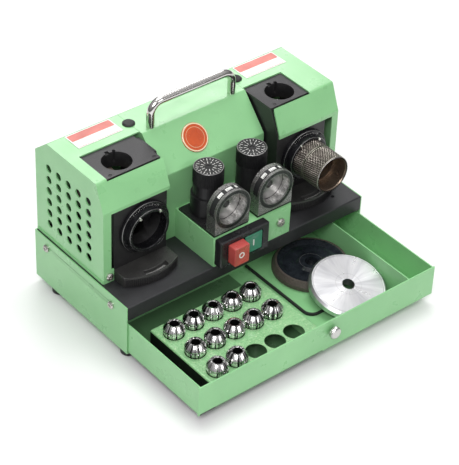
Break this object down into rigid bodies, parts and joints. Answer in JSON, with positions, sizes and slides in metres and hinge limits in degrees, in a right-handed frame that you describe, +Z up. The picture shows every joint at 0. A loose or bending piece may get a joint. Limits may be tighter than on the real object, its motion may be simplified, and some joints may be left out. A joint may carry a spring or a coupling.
{
  "type": "drill bit sharpener",
  "caption": "Bench drill and end-mill sharpener with front and top chuck guides, setting gauges and an open tool drawer.",
  "frame": {"origin": "bottom centre of the whole machine with its drawer open, on the bench surface", "axes": "+Z up, +X to the user's right, -Y towards the user (drawer side)"},
  "size_m": [0.2952, 0.2736, 0.2035],
  "materials": {
    "green_enamel": "glossy pale green enamel on sheet steel",
    "black_oxide_plate": "ground and blackened steel plate",
    "black_casting": "black machined casting",
    "black_turned": "black oxide turned steel",
    "engraved_dial": "black anodised, engraved with white marks",
    "graduated_band": "bright band with plain graduations",
    "bright_steel": "turned bright steel",
    "ground_collets": "ground spring-steel collets",
    "zinc_screws": "zinc-plated pan heads",
    "black_screws": "black oxide socket screws",
    "chrome_bar": "polished bent bar",
    "grey_chuck": "grey-brown phosphated steel, knurled",
    "rubber": "black rubber",
    "gland_nylon": "black nylon",
    "label_print": "printed film with a plain red band, no words",
    "badge_enamel": "orange disc with a cream border, no letters",
    "switch_black": "moulded black switch body",
    "button_red": "red moulded key",
    "button_green": "green moulded key",
    "motor_grey": "grey painted stator and shields",
    "rotor_laminations": "laminated core",
    "abrasive": "bonded abrasive wheel",
    "dark_wheel": "dark resin body with a brown abrasive rim",
    "light_wheel": "turned aluminium wheel",
    "capacitor_case": "pale moulded can"
  },
  "bodies": {
    "machine": {"base_shell": "green_enamel", "left_cover": "green_enamel", "centre_cover": "green_enamel", "right_cover": "green_enamel", "console_box": "green_enamel", "table_plate": "black_oxide_plate", "left_top_plate": "black_oxide_plate", "right_top_plate": "black_oxide_plate", "left_station_body": "black_casting", "right_station_body": "black_casting", "station_ledges": "black_casting", "left_guide_ring": "black_turned", "right_guide_ring": "black_turned", "left_gauge_stand": "black_turned", "right_gauge_stand": "black_turned", "left_gauge_ring": "black_turned", "right_gauge_ring": "black_turned", "left_gauge_band": "graduated_band", "right_gauge_band": "graduated_band", "guide_pins": "bright_steel", "drawer_rails": "bright_steel", "motor_bearings": "bright_steel", "handle_screws": "bright_steel", "pan_head_screws": "zinc_screws", "station_screws": "black_screws", "carry_handle": "chrome_bar", "rubber_feet": "rubber", "blanking_plugs": "rubber", "cable_gland": "gland_nylon", "label_plates": "label_print", "round_badge": "badge_enamel", "switch_housing": "switch_black", "motor_stator": "motor_grey", "motor_end_bells": "motor_grey", "motor_cradle": "motor_grey", "run_capacitor": "capacitor_case"},
    "rotor": {"rotor_shaft": "bright_steel", "rotor_core": "rotor_laminations", "left_grinding_wheel": "abrasive", "right_grinding_wheel": "abrasive", "wheel_nuts": "bright_steel"},
    "drawer": {"drawer_body": "green_enamel", "drawer_divider": "green_enamel", "drawer_knob": "chrome_bar", "collet_tray": "green_enamel", "wheel_tray": "green_enamel", "spare_wheel_dark": "dark_wheel"},
    "loose_wheel": {"spare_wheel_light": "light_wheel"},
    "back_collet_row": {"back_collets": "ground_collets"},
    "middle_collet_row": {"middle_collets": "ground_collets"},
    "front_collet_row": {"front_collets": "ground_collets"},
    "stop_key": {"stop_button": "button_red"},
    "start_key": {"start_button": "button_green"},
    "left_dial": {"left_gauge_dial": "engraved_dial"},
    "right_dial": {"right_gauge_dial": "engraved_dial"},
    "left_stop": {"left_gauge_stop": "bright_steel"},
    "right_stop": {"right_gauge_stop": "bright_steel"},
    "chuck": {"chuck_body": "grey_chuck", "chuck_collet": "bright_steel"},
    "chuck_nose": {"chuck_cap": "grey_chuck"}
  },
  "joints": [
    {"name": "rotor_spin", "type": "hinge", "parent": "machine", "child": "rotor", "pos_m": [0, 0.0808, 0.113], "axis": [1, 0, 0], "continuous": true},
    {"name": "drawer_slide", "type": "slide", "parent": "machine", "child": "drawer", "axis": [0, -1, 0], "range_m": [-0.106, 0]},
    {"name": "loose_wheel_lift", "type": "slide", "parent": "drawer", "child": "loose_wheel", "axis": [0, 0, 1], "range_m": [0, 0.05]},
    {"name": "back_collets_lift", "type": "slide", "parent": "drawer", "child": "back_collet_row", "axis": [0, 0, 1], "range_m": [0, 0.022]},
    {"name": "middle_collets_lift", "type": "slide", "parent": "drawer", "child": "middle_collet_row", "axis": [0, 0, 1], "range_m": [0, 0.022]},
    {"name": "front_collets_lift", "type": "slide", "parent": "drawer", "child": "front_collet_row", "axis": [0, 0, 1], "range_m": [0, 0.022]},
    {"name": "stop_press", "type": "slide", "parent": "machine", "child": "stop_key", "axis": [0, 1, 0], "range_m": [0, 0.003], "stiffness_N_per_m": 400},
    {"name": "start_press", "type": "slide", "parent": "machine", "child": "start_key", "axis": [0, 1, 0], "range_m": [0, 0.003], "stiffness_N_per_m": 400},
    {"name": "left_dial_turn", "type": "hinge", "parent": "machine", "child": "left_dial", "pos_m": [-0.022, 0.0173, 0.146], "axis": [0, 0, 1], "range_deg": [-150, 150]},
    {"name": "right_dial_turn", "type": "hinge", "parent": "machine", "child": "right_dial", "pos_m": [0.0305, 0.0173, 0.146], "axis": [0, 0, 1], "range_deg": [-150, 150]},
    {"name": "left_stop_travel", "type": "slide", "parent": "machine", "child": "left_stop", "axis": [0, -1, 0], "range_m": [-0.0035, 0.0035]},
    {"name": "right_stop_travel", "type": "slide", "parent": "machine", "child": "right_stop", "axis": [0, -1, 0], "range_m": [-0.0035, 0.0035]},
    {"name": "chuck_slide", "type": "slide", "parent": "machine", "child": "chuck", "axis": [0, -1, 0], "range_m": [0, 0.06]},
    {"name": "chuck_nose_turn", "type": "hinge", "parent": "chuck", "child": "chuck_nose", "pos_m": [0.0993, -0.0132, 0.1122], "axis": [0, -1, 0], "range_deg": [0, 90]}
  ],
  "couplings": [
    {"joint": "left_stop_travel", "follows": "left_dial_turn", "m_per_rad": 0.0012},
    {"joint": "right_stop_travel", "follows": "right_dial_turn", "m_per_rad": 0.0012}
  ]
}
